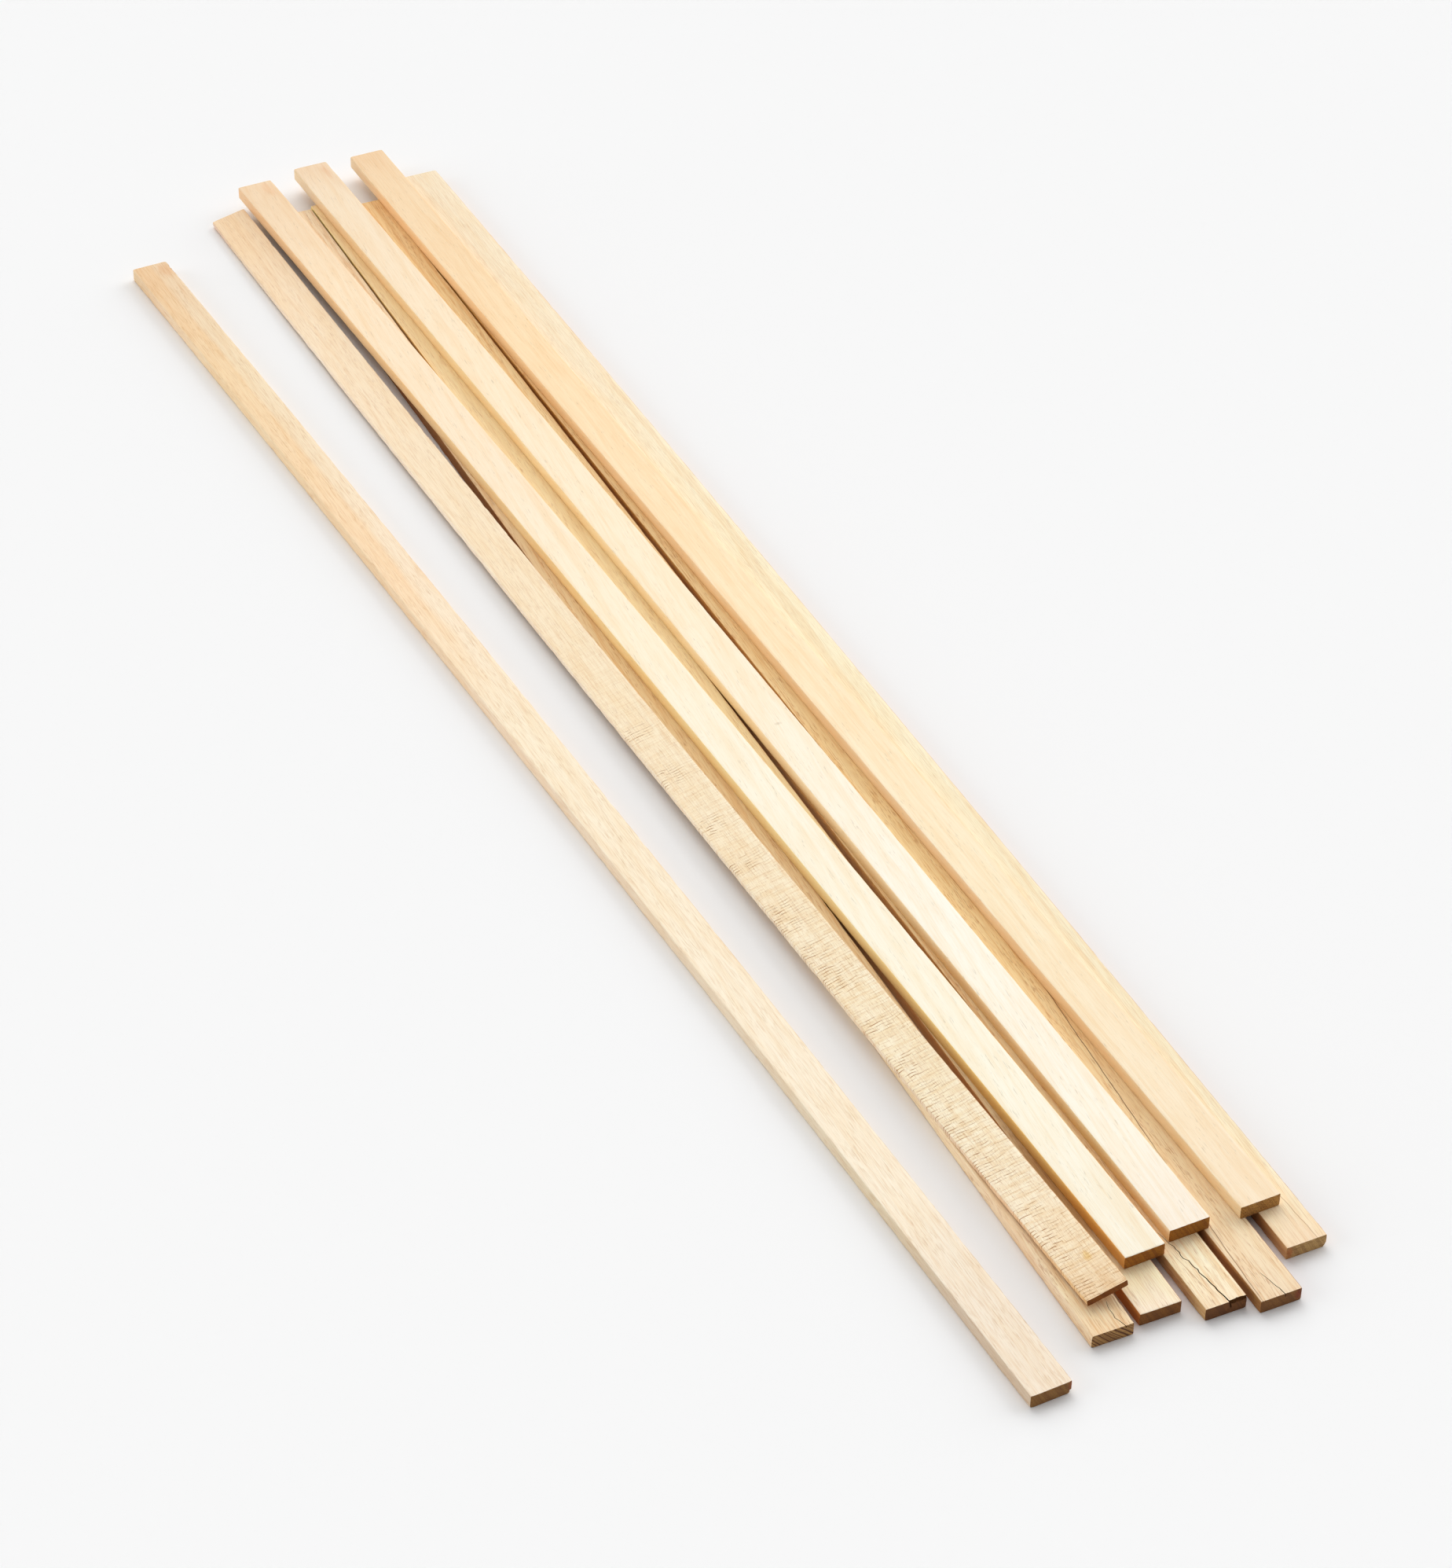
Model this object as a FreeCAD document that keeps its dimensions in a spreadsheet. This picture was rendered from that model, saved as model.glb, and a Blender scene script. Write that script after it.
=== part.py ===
import math
import os

import FreeCAD, Part
import Sketcher

# Ten square-edged hardwood strips. Five lie side by side as a bottom layer. Three lie on top of
# them at a small angle, and a thinner one leans beside these, from the top edge of bottom strip 1
# down to the floor. One more lies by itself at the left.
#
# x runs along the strips from their near ends to their far ends, y points to the left, z up.
# Bottom strip 3, in the middle, is parallel to x. The origin is on the floor, under the middle of
# the whole group. Lengths are in millimetres.

# name in the sheet, value, what it is
SIZES = [
    ("strip_length", 914.4, "length of every strip"),
    ("strip_width", 19.05, "width of every strip"),
    ("strip_thick", 6.35, "thickness of every strip but the leaning one"),
    ("lean_thick", 3.2, "thickness of the leaning strip"),
    ("arris", 0.4, "radius that the sawn edges are eased to"),
    # bottom layer: each strip is placed from its neighbour towards the middle strip
    ("bottom_back_1", -2.8, "near end of bottom strip 1, beyond that of strip 2"),
    ("bottom_back_2", 8.4, "near end of bottom strip 2, beyond that of strip 3"),
    ("bottom_back_4", -5.4, "near end of bottom strip 4, beyond that of strip 3"),
    ("bottom_back_5", 21.4, "near end of bottom strip 5, beyond that of strip 4"),
    ("near_gap_1_2", 4.0, "gap between bottom strips 1 and 2 at the near end"),
    ("near_gap_2_3", 5.9, "gap between bottom strips 2 and 3 at the near end"),
    ("near_gap_3_4", 3.1, "gap between bottom strips 3 and 4 at the near end"),
    ("near_gap_4_5", 5.9, "gap between bottom strips 4 and 5 at the near end"),
    ("far_gap_1_2", 0.5, "gap between bottom strips 1 and 2 at the far end"),
    ("far_gap_2_3", 0.1, "gap between bottom strips 2 and 3 at the far end"),
    ("far_gap_3_4", 0.1, "gap between bottom strips 3 and 4 at the far end"),
    ("far_gap_4_5", 0.1, "gap between bottom strips 4 and 5 at the far end"),
    # top layer: strip 2 is placed on the middle bottom strip, 1 and 3 beside it
    ("top_back_2", 39.3, "near end of top strip 2, beyond that of bottom strip 3"),
    ("top_shift_near", -5.5, "top strip 2 to the left of bottom strip 3, near end"),
    ("top_shift_far", 17.0, "the same at the far end"),
    ("top_back_1", -5.0, "near end of top strip 1, beyond that of top strip 2"),
    ("top_back_3", -1.3, "near end of top strip 3, beyond that of top strip 2"),
    ("top_near_gap_1_2", 5.0, "gap between top strips 1 and 2 at the near end"),
    ("top_far_gap_1_2", 15.6, "the same at the far end"),
    ("top_near_gap_2_3", 13.8, "gap between top strips 2 and 3 at the near end"),
    ("top_far_gap_2_3", 13.7, "the same at the far end"),
    # leaning strip, placed beside top strip 1
    ("lean_back", -12.1, "its near end, beyond that of top strip 1"),
    ("lean_near_gap", 5.6, "its gap to top strip 1 at the near end"),
    ("lean_far_gap", 1.4, "the same at the far end"),
    ("lean_seat", 0.1, "height that it keeps above the edge it rests on"),
    # lone strip, placed beside bottom strip 1
    ("lone_back", -17.4, "its near end, beyond that of bottom strip 1"),
    ("lone_near_gap", 18.0, "its gap to bottom strip 1 at the near end"),
    ("lone_far_gap", 70.4, "the same at the far end"),
    # drying cracks that open at the near ends of bottom strips 1, 3 and 4
    ("crack_mouth", 0.6, "width of a crack where it opens at the end"),
    ("crack_depth", 3.5, "how deep a crack goes down from the top face"),
    ("crack_reach_1", 16.0, "length of the crack in bottom strip 1"),
    ("crack_reach_3", 46.0, "length of the crack in bottom strip 3"),
    ("crack_reach_4", 18.0, "length of the crack in bottom strip 4"),
    ("crack_side_1", 3.4, "distance of that crack's mouth from the right side"),
    ("crack_side_3", 8.2, "distance of that crack's mouth from the right side"),
    ("crack_side_4", 8.0, "distance of that crack's mouth from the right side"),
    ("crack_drift_1", 1.9, "how far that crack's tip lies left of its mouth"),
    ("crack_drift_3", 6.6, "how far that crack's tip lies left of its mouth"),
    ("crack_drift_4", 0.6, "how far that crack's tip lies left of its mouth"),
    # the corner of bottom strip 3 that broke off along its crack
    ("chip_reach", 1.8, "how far the chip goes in from the end"),
    ("chip_depth", 2.0, "how deep the chip is"),
]

X_AXIS = FreeCAD.Vector(1, 0, 0)
Z_AXIS = FreeCAD.Vector(0, 0, 1)
CLEAR_OF_BAR = 2.0  # how far a cut's outline starts outside the bar, so that it opens cleanly
SETTLE_ROUNDS = 40  # far more than the leaning strip's tilt needs to settle

doc = FreeCAD.newDocument("strips")
sheet = doc.addObject("Spreadsheet::Sheet", "Sizes")
for row, (name, value, meaning) in enumerate(SIZES, start=1):
    sheet.set(f"A{row}", name)
    sheet.set(f"B{row}", str(value))
    sheet.set(f"C{row}", meaning)
    sheet.setAlias(f"B{row}", name)
doc.recompute()


def size(name):
    """Value of one named cell."""
    return float(sheet.get(name))


# ---- one strip ------------------------------------------------------------------------------
# A strip's own frame: x from its near end, y from its right side, z from its underside.


def sketch_on_base(body, name, height=None):
    """A sketch on the body's own XY plane, lifted to a height if one is given."""
    sketch = body.newObject("Sketcher::SketchObject", f"{body.Name}_{name}")
    base = next(plane for plane in body.Origin.OriginFeatures if plane.Role == "XY_Plane")
    sketch.AttachmentSupport = [(base, "")]
    sketch.MapMode = "FlatFace"
    if height:
        sketch.setExpression("AttachmentOffset.Base.z", height)
    return sketch


def draw_outline(sketch, corners):
    """A closed outline. Each corner is a pair of expressions: its x and its y."""
    count = len(corners)
    for index in range(count):
        turn = 2 * math.pi * index / count
        after = 2 * math.pi * (index + 1) / count
        start = FreeCAD.Vector(math.cos(turn), math.sin(turn), 0)
        end = FreeCAD.Vector(math.cos(after), math.sin(after), 0)
        sketch.addGeometry(Part.LineSegment(start, end), False)
    for index in range(count):
        sketch.addConstraint(Sketcher.Constraint("Coincident", index, 2, (index + 1) % count, 1))
    for index, corner in enumerate(corners):
        for kind, expression in zip(("DistanceX", "DistanceY"), corner):
            number = sketch.addConstraint(Sketcher.Constraint(kind, -1, 1, index, 1, 0.0))
            sketch.setExpression(f"Constraints[{number}]", expression)


def add_bar(body, thick):
    """The sawn bar, with all its edges eased."""
    outline = sketch_on_base(body, "outline")
    wide = "Sizes.strip_width"
    long = "Sizes.strip_length"
    draw_outline(outline, [("0", "0"), (long, "0"), (long, wide), ("0", wide)])
    bar = body.newObject("PartDesign::Pad", body.Name + "_bar")
    bar.Profile = outline
    bar.setExpression("Length", f"Sizes.{thick}")
    doc.recompute()
    eased = body.newObject("PartDesign::Fillet", body.Name + "_eased")
    eased.Base = (bar, [f"Edge{number}" for number in range(1, len(bar.Shape.Edges) + 1)])
    eased.setExpression("Radius", "Sizes.arris")
    doc.recompute()


def cut_from_top(body, name, corners, depth):
    """Cut an outline straight down from the strip's top face."""
    before = body.Shape.Volume
    outline = sketch_on_base(body, name + "_outline", "Sizes.strip_thick")
    draw_outline(outline, corners)
    cut = body.newObject("PartDesign::Pocket", f"{body.Name}_{name}")
    cut.Profile = outline
    cut.setExpression("Length", f"Sizes.{depth}")
    doc.recompute()
    if body.Shape.Volume >= before:
        raise RuntimeError(f"{name} takes nothing away from {body.Label}")


def add_crack(body, number):
    """A drying crack: a sliver that opens at the near end and runs in along the grain."""
    side = f"Sizes.crack_side_{number}"
    half = "Sizes.crack_mouth / 2"
    outside = f"-{CLEAR_OF_BAR}"
    tip = (f"Sizes.crack_reach_{number}", f"{side} + Sizes.crack_drift_{number}")
    cut_from_top(
        body,
        "crack",
        [(outside, f"{side} - {half}"), tip, (outside, f"{side} + {half}")],
        "crack_depth",
    )


def add_chip(body):
    """The end's top corner, broken off from the crack to the strip's right side."""
    outside = f"-{CLEAR_OF_BAR}"
    inner = "Sizes.chip_reach"
    crack = "Sizes.crack_side_3"
    cut_from_top(
        body,
        "chip",
        [(outside, outside), (inner, outside), (inner, crack), (outside, crack)],
        "chip_depth",
    )


# ---- where the strips lie ---------------------------------------------------------------------


def turned(x, y, angle, height=0.0):
    """A place in the plane, turned about the vertical by an angle in radians."""
    turn = FreeCAD.Rotation(Z_AXIS, math.degrees(angle))
    return FreeCAD.Placement(FreeCAD.Vector(x, y, height), turn)


def spread(near_gap, far_gap):
    """Angle between two neighbours whose gap changes from the near end to the far end."""
    return math.asin((far_gap - near_gap) / size("strip_length"))


def left_of(neighbour, back, near_gap, far_gap):
    """Place of a strip whose right side faces its neighbour's left side."""
    step = turned(back, size("strip_width") + near_gap, spread(near_gap, far_gap))
    return neighbour.multiply(step)


def right_of(neighbour, back, near_gap, far_gap):
    """Place of a strip whose left side faces its neighbour's right side."""
    left_corner = turned(back, -near_gap, -spread(near_gap, far_gap))
    return neighbour.multiply(left_corner).multiply(turned(0, -size("strip_width"), 0))


def leaning_on(carrier, flat_place):
    """Tip a strip about the carrier's top left edge until its far left corner meets the floor.

    flat_place gives the line over which the strip's lower right edge lies, seen from above. How
    steep it leans and how far out its foot stands depend on each other, so they settle in rounds.
    """
    rise = size("strip_thick") + size("lean_seat")
    edge = carrier.multiply(turned(0, size("strip_width"), 0, rise))
    start = flat_place.Base
    heading = flat_place.Rotation.multVec(X_AXIS)
    run = size("strip_width")
    for _ in range(SETTLE_ROUNDS):
        tilt = FreeCAD.Rotation(X_AXIS, -math.degrees(math.atan(rise / run)))
        upright = edge.Rotation.multiply(tilt).multVec(Z_AXIS)
        reach = start - edge.Base
        height = edge.Base.z - (upright.x * reach.x + upright.y * reach.y) / upright.z
        climb = -(upright.x * heading.x + upright.y * heading.y) / upright.z
        corner = FreeCAD.Vector(start.x, start.y, height)
        along = FreeCAD.Vector(heading.x, heading.y, climb).normalize()
        across = upright.cross(along)
        foot = corner + along * size("strip_length") + across * size("strip_width")
        run = edge.inverse().multVec(foot).y
    return FreeCAD.Placement(corner, FreeCAD.Rotation(along, across, upright, "ZXY"))


def all_places():
    """Every strip's place, worked out from its neighbour's, before the origin is centred."""
    bottom = {3: FreeCAD.Placement()}
    bottom[2] = left_of(bottom[3], size("bottom_back_2"), size("near_gap_2_3"), size("far_gap_2_3"))
    bottom[1] = left_of(bottom[2], size("bottom_back_1"), size("near_gap_1_2"), size("far_gap_1_2"))
    bottom[4] = right_of(bottom[3], size("bottom_back_4"), size("near_gap_3_4"), size("far_gap_3_4"))
    bottom[5] = right_of(bottom[4], size("bottom_back_5"), size("near_gap_4_5"), size("far_gap_4_5"))

    crossing = spread(size("top_shift_near"), size("top_shift_far"))
    top = {2: turned(size("top_back_2"), size("top_shift_near"), crossing, size("strip_thick"))}
    top[1] = left_of(
        top[2], size("top_back_1"), size("top_near_gap_1_2"), size("top_far_gap_1_2")
    )
    top[3] = right_of(
        top[2], size("top_back_3"), size("top_near_gap_2_3"), size("top_far_gap_2_3")
    )

    beside_top = left_of(top[1], size("lean_back"), size("lean_near_gap"), size("lean_far_gap"))
    named = {f"bottom_strip_{number}": bottom[number] for number in sorted(bottom)}
    named.update({f"top_strip_{number}": top[number] for number in sorted(top)})
    named["leaning_strip"] = leaning_on(bottom[1], beside_top)
    named["lone_strip"] = left_of(
        bottom[1], size("lone_back"), size("lone_near_gap"), size("lone_far_gap")
    )
    return named


# ---- build ------------------------------------------------------------------------------------

places = all_places()
bodies = {}
for name in places:
    body = doc.addObject("PartDesign::Body", name)
    body.Label = name
    add_bar(body, "lean_thick" if name == "leaning_strip" else "strip_thick")
    bodies[name] = body

for number in (1, 3, 4):
    add_crack(bodies[f"bottom_strip_{number}"], number)
add_chip(bodies["bottom_strip_3"])

for name, body in bodies.items():
    body.Placement = places[name]
doc.recompute()

group_box = Part.makeCompound([body.Shape for body in bodies.values()]).optimalBoundingBox(False)
to_origin = FreeCAD.Vector(-group_box.Center.x, -group_box.Center.y, -group_box.ZMin)
for body in bodies.values():
    body.Placement.Base = body.Placement.Base + to_origin
doc.recompute()

# ---- check and write --------------------------------------------------------------------------

for item in doc.Objects:
    if "Invalid" in item.State or "Error" in item.State:
        raise RuntimeError(f"{item.Label} did not recompute: {item.State}")
for body in bodies.values():
    if body.Shape.isNull() or not body.Shape.isValid() or len(body.Shape.Solids) != 1:
        raise RuntimeError(f"{body.Label} is not one valid solid")

os.makedirs("parts", exist_ok=True)
for name, body in bodies.items():
    body.Shape.exportStep(f"parts/{name}.step")

print(f"moved to the origin by {to_origin.x:.3f}, {to_origin.y:.3f}, {to_origin.z:.3f}")
overall = " x ".join(f"{side:.1f}" for side in (group_box.XLength, group_box.YLength, group_box.ZLength))
print(f"{len(bodies)} strips, {overall} mm overall")
for name, body in bodies.items():
    base = body.Placement.Base
    print(f"{name}: near right corner at {base.x:.2f}, {base.y:.2f}, {base.z:.2f}")
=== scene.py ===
# %% [markdown]
# # A pile of hardwood strips
#
# Ten long, square-edged strips of pale maple lie on a white table. Five lie side by side, three
# lie on top of them, a thin one with saw marks leans beside these, and one lies by itself.
#
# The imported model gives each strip's place and size. Here each gets a mesh of its own, with the
# bow, the cracks and the worn edges of a real stick of wood, and a finish of its own.

import math
from collections import namedtuple

import bmesh
import bpy
from mathutils import Matrix, Vector, noise


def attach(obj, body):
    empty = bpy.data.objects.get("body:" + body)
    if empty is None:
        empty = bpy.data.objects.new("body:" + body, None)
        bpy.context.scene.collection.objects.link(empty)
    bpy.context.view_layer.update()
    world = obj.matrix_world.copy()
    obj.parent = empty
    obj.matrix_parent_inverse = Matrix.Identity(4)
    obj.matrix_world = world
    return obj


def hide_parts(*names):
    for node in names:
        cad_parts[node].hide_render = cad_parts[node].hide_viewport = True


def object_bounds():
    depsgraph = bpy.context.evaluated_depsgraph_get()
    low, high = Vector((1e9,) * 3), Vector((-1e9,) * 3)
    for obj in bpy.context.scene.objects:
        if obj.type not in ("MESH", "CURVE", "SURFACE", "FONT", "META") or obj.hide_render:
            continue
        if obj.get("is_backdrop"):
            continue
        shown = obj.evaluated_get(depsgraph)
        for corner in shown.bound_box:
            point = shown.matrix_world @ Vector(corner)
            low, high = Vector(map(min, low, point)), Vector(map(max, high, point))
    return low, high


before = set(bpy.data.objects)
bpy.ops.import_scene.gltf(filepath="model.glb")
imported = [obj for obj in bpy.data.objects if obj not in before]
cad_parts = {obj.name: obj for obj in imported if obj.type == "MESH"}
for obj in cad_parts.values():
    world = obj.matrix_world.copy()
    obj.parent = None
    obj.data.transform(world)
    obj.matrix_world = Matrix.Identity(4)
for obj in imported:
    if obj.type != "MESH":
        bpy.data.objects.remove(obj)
cad_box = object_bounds()
MM = 0.001  # one millimetre in the scene's metres
print("overall, mm:", [round(side / MM, 1) for side in cad_box[1] - cad_box[0]])

# %% [markdown]
# ## Where each strip lies
#
# A strip is easiest to shape in its own frame: x along the grain from its near end, y across it
# from its right side, z up from its underside, all in millimetres. Sizes could be typed in
# again, but might then drift from the frame. The six flat faces of the frame's mesh already say
# where a strip is: their normals are its axes, and their distances are its sizes.

# %% Read a strip from its six flat faces
Bar = namedtuple("Bar", "name place length width thick")


def facing(mesh, direction):
    """The largest flat face that looks nearly in a direction."""
    nearly = 0.9  # cosine of about 25 degrees, more than any strip is turned or tipped
    looking = [face for face in mesh.polygons if face.normal.dot(Vector(direction)) > nearly]
    return max(looking, key=lambda face: face.area)


def read_bar(name):
    """The size of a strip in millimetres, and the matrix from its own frame to the scene."""
    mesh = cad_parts[name].data
    low = [facing(mesh, direction) for direction in ((-1, 0, 0), (0, -1, 0), (0, 0, -1))]
    high = [facing(mesh, direction) for direction in ((1, 0, 0), (0, 1, 0), (0, 0, 1))]
    axes = [face.normal.copy() for face in high]
    starts = [axis.dot(face.center) for axis, face in zip(axes, low)]
    ends = [axis.dot(face.center) for axis, face in zip(axes, high)]
    place = Matrix(axes).transposed().to_4x4()
    place.translation = sum((axis * start for axis, start in zip(axes, starts)), Vector())
    sizes = [(end - start) / MM for start, end in zip(starts, ends)]
    return Bar(name, place @ Matrix.Scale(MM, 4), *sizes)


bars = {name: read_bar(name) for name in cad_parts}
for bar in bars.values():
    print(f"{bar.name}: {bar.length:.1f} x {bar.width:.2f} x {bar.thick:.2f} mm")

# %% [markdown]
# ## The sawn bar
#
# A strip comes off a saw as a long box, and a light pass of sandpaper takes the sharpness off
# its edges. So the mesh starts as a cube, is scaled to size, and gets a small round on every
# edge. Then it is cut into many short slices, because a bow, a worn edge and a rough end all
# need points to move. Subdividing by axis keeps clean rows of four-sided faces.

# %% Box, eased edges and slices
ARRIS = 0.4  # radius that the sharp edges are eased to
SLICES = 420  # slices along a strip
SAWN_SLICES = 900  # the strip with saw marks needs finer ones to show them
ACROSS = 15  # cuts across the width
CROWDING = 0.7  # how much closer the slices stand at the ends than on average


def divide(bm, axis, least, cuts):
    """Cut each edge that runs along an axis, and is longer than least, into equal parts."""
    chosen = []
    for edge in bm.edges:
        run = edge.verts[1].co - edge.verts[0].co
        if abs(run[axis]) > max(least, 0.99 * run.length):
            chosen.append(edge)
    bmesh.ops.subdivide_edges(bm, edges=chosen, cuts=cuts, use_grid_fill=True)


def sawn_bar(bar, slices):
    """A strip as it leaves the saw, in its own frame."""
    bm = bmesh.new()
    bmesh.ops.create_cube(bm, size=1.0)
    bmesh.ops.translate(bm, vec=(0.5, 0.5, 0.5), verts=bm.verts)
    bmesh.ops.scale(bm, vec=(bar.length, bar.width, bar.thick), verts=bm.verts)
    bmesh.ops.bevel(
        bm, geom=bm.edges, offset=ARRIS, offset_type="OFFSET", segments=2,
        profile=0.5, affect="EDGES", material=-1,
    )
    divide(bm, axis=1, least=bar.width / 2, cuts=ACROSS)
    divide(bm, axis=2, least=bar.thick / 2, cuts=round(bar.thick) - 1)
    divide(bm, axis=0, least=bar.length / 2, cuts=slices - 1)
    for vert in bm.verts:
        share = vert.co.x / bar.length
        crowd = CROWDING * math.sin(math.tau * share) / math.tau
        if ARRIS < vert.co.x < bar.length - ARRIS:
            vert.co.x -= crowd * (bar.length - 2 * ARRIS)
    return bm


sample = sawn_bar(bars["lone_strip"], SLICES)
print("one bar:", len(sample.verts), "points,", len(sample.faces), "faces")
sample.free()

# %% [markdown]
# ## Bow and worn edges
#
# No stick of wood stays straight and crisp. It dries into a slight sideways bow, and its edges
# are nibbled where fibres pulled out. The bow is a parabola, and the bites are a noise along
# the edge. Sculpting would do too, but a formula is short, and the same every time.

# %% How far wood bends and wears
WEAR_RUN = 9.0  # length of one bite along an edge
FINE_RUN = 2.0  # length of the small bites within it
FINE_SHARE = 0.4  # depth of the small bites, as a share of the large ones'
BITE_COVER = 0.15  # the higher, the less of an edge stays whole


def bow_at(bar, bow, x):
    """Sideways shift towards the strip's right at x, for a bow of that much at mid-length."""
    share = x / bar.length
    return 4.0 * bow * share * (1.0 - share)


def bite(x, seed, run):
    """An uneven value from 0 to 1 along a strip, mostly near 0."""
    value = noise.fractal(Vector((x / run, seed, 0.5)), 0.8, 2.1, 3)
    return min(1.0, max(0.0, value + BITE_COVER)) ** 1.5


def inwards(value, size):
    """1 on the low face and -1 on the high one: which way is into the wood."""
    return 1.0 if value < size / 2 else -1.0


thin = bars["leaning_strip"]
print("a bow of 2 mm moves a quarter point by, mm:", bow_at(thin, 2.0, thin.length / 4))

# %% [markdown]
# ## Saw marks
#
# The thin strip was cut by a dull saw. It snatched here and there over the nearer half, mostly
# by the left edge, and left a ripple and brown lines across the face. One function says how
# strongly it snatched, so that the ripple and the lines fall on the same stretches.

# %% Where the saw snatched
SAW_PATCHES = (  # middle and half length of each marked stretch
    (5, 7), (23, 5), (38, 8), (54, 4), (82, 8), (95, 5), (109, 6), (123, 5), (135, 5), (152, 8),
    (180, 5), (215, 10), (234, 6), (260, 10), (300, 5), (331, 6), (371, 6), (406, 5),
)
PATCH_BLUR = 3.0  # length over which a stretch begins and ends
SIDE_BLUR = 9.0  # marks are full over half of this from the left, then fade over all of it
LEAST_MARK = 0.1  # what is left of a mark by the right edge


def saw_mark(bar, x, y):
    """How strongly the saw marked the thin strip there, from 0 to 1."""
    inside = [reach + PATCH_BLUR / 2 - abs(x - middle) for middle, reach in SAW_PATCHES]
    there = min(1.0, max(inside) / PATCH_BLUR)
    from_left = bar.width - y
    return max(0.0, there) * max(LEAST_MARK, min(1.0, 1.5 - from_left / SIDE_BLUR))


print("saw mark by the left edge, 38 mm along:", saw_mark(thin, 38.0, thin.width))

# %% [markdown]
# ## Rough ends, rubbed corners and ripple
#
# A saw tears fibres out of the ends, and handling rubs the corners off. All of it moves points
# inwards only, so that a strip stays within its size and the strips lie flat on each other.

# %% Shape the surface point by point
END_ROUGH = 0.16  # how far the saw tore fibres out of an end
LUMP = (1.6, 0.9)  # width and height of one torn lump
CORNER_REACH = 2.2  # how far in from a corner of an end the corner is rubbed off
FACE_SHARE = 0.6  # how much of a bite goes into the upper or lower face
SIDE_SHARE = 0.6  # how much of the rubbing at a corner goes into the side
SAW_FEED = 1.6  # how far the strip moved on between two strokes of the dull saw
FEED_STRAY = 0.6  # strokes by which the ripple strays from an even feed
RIPPLE_LEAST = 0.3  # share of the ripple that lies outside the marked stretches


def weather(bm, bar, shape, seed):
    """Move the points of a fresh bar: worn edges, rough ends, rubbed corners and ripple."""
    for vert in bm.verts:
        x, y, z = vert.co
        to_side = min(y, bar.width - y)
        to_face = min(z, bar.thick - z)
        to_end = min(x, bar.length - x)
        turn_y, turn_z = inwards(y, bar.width), inwards(z, bar.thick)
        if to_side < 2 * ARRIS and to_face < 2 * ARRIS:
            edge = seed + 3.0 * turn_y + 7.0 * turn_z  # each of the four edges has its own bites
            fine = FINE_SHARE * shape["wear"] * bite(x, edge + 20, FINE_RUN)
            depth = shape["wear"] * bite(x, edge, WEAR_RUN) + fine
            vert.co.y += turn_y * depth
            vert.co.z += turn_z * depth * FACE_SHARE
        if to_end < ARRIS:
            rough = noise.noise(Vector((y / LUMP[0], z / LUMP[1], seed + x)))
            vert.co.x += inwards(x, bar.length) * END_ROUGH * (0.5 + 0.5 * rough)
        if to_end < 2 * CORNER_REACH and to_side < CORNER_REACH:
            near = 1.0 - to_side / CORNER_REACH
            fade = 1.0 - to_end / (2 * CORNER_REACH)
            vert.co.x += inwards(x, bar.length) * shape["corner"] * near * near * fade
            vert.co.y += turn_y * SIDE_SHARE * shape["corner"] * near * fade * fade
        if shape["ripple"] and to_side > ARRIS and to_face < ARRIS:
            stray = noise.noise(Vector((x / 24.0, y / 9.0, seed)))
            phase = x / SAW_FEED + FEED_STRAY * stray
            wave = 0.5 - 0.5 * math.cos(math.tau * phase)
            share = RIPPLE_LEAST + (1.0 - RIPPLE_LEAST) * saw_mark(bar, x, y)
            vert.co.z += turn_z * shape["ripple"] * wave * share


def bend(bm, bar, bow):
    """Give a strip, or what is cut out of it, the strip's sideways bow."""
    for vert in bm.verts:
        vert.co.y -= bow_at(bar, bow, vert.co.x)


print("an edge is bitten by up to", 1.0 + FINE_SHARE, "times its strip's wear")

# %% [markdown]
# ## Cracks, chips and nicks
#
# Wood dries fastest from its ends and splits there along the grain. A crack jumps sideways from
# fibre to fibre, so it is a chain of short steps. Each flaw is a small closed solid to be cut
# out of the strip. Pushing points down would leave a soft dent, where a crack has sharp lips.

# %% Solids that take wood away
CLEAR = 1.0  # how far a cutting solid stands out of the wood
STEP_RUN = 1.9  # length of one step of a crack
STEP_NOISE = 0.83  # how far apart two steps read the noise that makes them jump
CRACK_TAPER = 0.6  # below 1, a crack stays wide for longer
CRACK_TIP = 0.05  # half the width that it keeps at its tip
CRACK_RISE = 0.75  # how much of its depth it has lost there
CRACK_LEAN = 0.3  # how far it leans to the right for each millimetre down
NICK_ROUGH = 0.25  # how uneven a nick is
NICK_LUMPS = 2.3  # lumps within its radius
COARSE_TEAR = 0.9  # coarse tears in a chip, per millimetre
FINE_TEAR = 2.6  # fine tears, per millimetre
WALL_TEARS = (0.45, 0.2)  # depth of both on the chip's walls
FLOOR_TEARS = (0.5, 0.25)  # depth of both on its floor
CHIP_SLOPE = 0.3  # how steeply the floor rises from the end


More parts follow.
